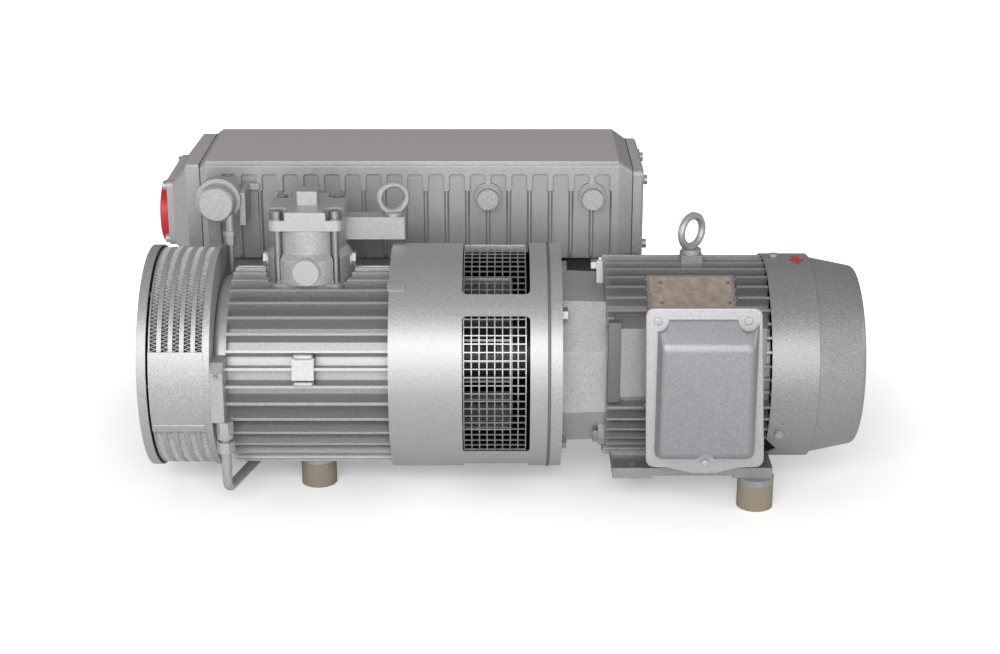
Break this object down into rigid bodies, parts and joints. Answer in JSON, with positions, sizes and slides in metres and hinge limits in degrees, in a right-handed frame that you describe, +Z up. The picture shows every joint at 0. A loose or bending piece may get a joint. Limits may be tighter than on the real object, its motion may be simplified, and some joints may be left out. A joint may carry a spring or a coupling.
{
  "type": "vacuum pump",
  "caption": "Long oil-lubricated rotary vane vacuum pump with ring cooler, ribbed cylinder, mesh guard, electric motor and ribbed separator box.",
  "frame": {"origin": "centre of the bounding box in plan, on the floor under the rubber feet", "axes": "+X along the shaft from the oil cooler to the motor's fan cover, +Y from the terminal box to the separator box, +Z up"},
  "size_m": [0.961, 0.538, 0.4095],
  "materials": {
    "silver_paint": "silver-grey textured paint on castings and sheet",
    "zinc_steel": "zinc-plated steel",
    "service_plug_paint": "silver-grey paint",
    "bare_aluminium": "bare aluminium",
    "machined_steel": "machined steel",
    "stator_iron": "laminated iron",
    "vane_composite": "fibre composite",
    "seal_rubber": "black rubber",
    "gasket_teal": "teal fibre gasket",
    "filter_media": "glass-fibre filter media",
    "red_plastic": "soft red plastic",
    "grey_plastic": "moulded plastic",
    "plate_bronze": "anodised plate without text",
    "sump_brass": "brass and glass",
    "filter_paint": "painted canister",
    "foot_rubber": "brown-grey rubber"
  },
  "bodies": {
    "housing": {"ballast_bracket": "silver_paint", "ballast_filter": "silver_paint", "ballast_line": "zinc_steel", "cooler_core": "bare_aluminium", "cooler_header": "silver_paint", "cooler_inner_plate": "silver_paint", "cooler_outer_plate": "silver_paint", "cover_gaskets": "gasket_teal", "cover_screws": "zinc_steel", "exhaust_filters": "filter_media", "exhaust_valve": "zinc_steel", "fan_cover": "silver_paint", "fan_guard": "silver_paint", "flange_bolts": "zinc_steel", "guard_flange": "silver_paint", "guard_mesh": "zinc_steel", "inlet_body": "silver_paint", "inlet_bolts": "zinc_steel", "inlet_cap": "silver_paint", "inlet_plug": "silver_paint", "inlet_side_plugs": "zinc_steel", "left_cover": "silver_paint", "lifting_bar": "silver_paint", "motor_adapter": "silver_paint", "motor_end_shields": "silver_paint", "motor_frame": "silver_paint", "motor_lifting_eye": "zinc_steel", "motor_plate": "plate_bronze", "motor_stator": "stator_iron", "oil_filter": "filter_paint", "oil_fittings": "zinc_steel", "oil_manifold": "silver_paint", "oil_pipe": "silver_paint", "pump_cylinder": "silver_paint", "pump_drive_cover": "silver_paint", "pump_end_cover": "silver_paint", "pump_lifting_eye": "zinc_steel", "right_cover": "silver_paint", "rubber_feet": "foot_rubber", "separator_box": "silver_paint", "service_plugs": "service_plug_paint", "shaft_bearings": "machined_steel", "shaft_seals": "seal_rubber", "sump_fittings": "sump_brass", "terminal_box": "silver_paint", "terminal_lid": "silver_paint"},
    "pump_shaft": {"pump_rotor": "machined_steel", "cooler_fan": "bare_aluminium", "coupling_hub_pump": "machined_steel", "coupling_spider": "seal_rubber", "drum_fan": "bare_aluminium"},
    "motor_shaft": {"motor_rotor": "machined_steel", "coupling_hub_motor": "machined_steel", "motor_fan": "grey_plastic"},
    "upper_vane": {"vane_upper": "vane_composite"},
    "front_vane": {"vane_front": "vane_composite"},
    "lower_vane": {"vane_lower": "vane_composite"},
    "inlet_valve": {"inlet_valve_disc": "zinc_steel"},
    "outlet_cap": {"exhaust_cap": "red_plastic"},
    "sump_float": {"float_valve": "grey_plastic"}
  },
  "joints": [
    {"name": "pump_spin", "type": "hinge", "parent": "housing", "child": "pump_shaft", "pos_m": [-0.2, -0.079, 0.1755], "axis": [1, 0, 0], "continuous": true},
    {"name": "motor_spin", "type": "hinge", "parent": "housing", "child": "motor_shaft", "pos_m": [0.25, -0.079, 0.1755], "axis": [1, 0, 0], "continuous": true},
    {"name": "upper_vane_slide", "type": "slide", "parent": "pump_shaft", "child": "upper_vane", "axis": [0, 0.5, 0.866], "range_m": [0, 0.001]},
    {"name": "front_vane_slide", "type": "slide", "parent": "pump_shaft", "child": "front_vane", "axis": [0, -1, 0], "range_m": [0, 0.0115]},
    {"name": "lower_vane_slide", "type": "slide", "parent": "pump_shaft", "child": "lower_vane", "axis": [0, 0.5, -0.866], "range_m": [0, 0.001]},
    {"name": "inlet_valve_slide", "type": "slide", "parent": "housing", "child": "inlet_valve", "axis": [0, 0, -1], "range_m": [0, 0.012], "stiffness_N_per_m": 250, "springref_m": -0.012},
    {"name": "outlet_cap_pull", "type": "slide", "parent": "housing", "child": "outlet_cap", "axis": [-1, 0, 0], "range_m": [0, 0.03]},
    {"name": "sump_float_swing", "type": "hinge", "parent": "housing", "child": "sump_float", "pos_m": [-0.2135, 0.121, 0.1475], "axis": [1, 0, 0], "range_deg": [0, 30]}
  ],
  "couplings": [
    {"joint": "motor_spin", "follows": "pump_spin", "ratio": 1}
  ]
}
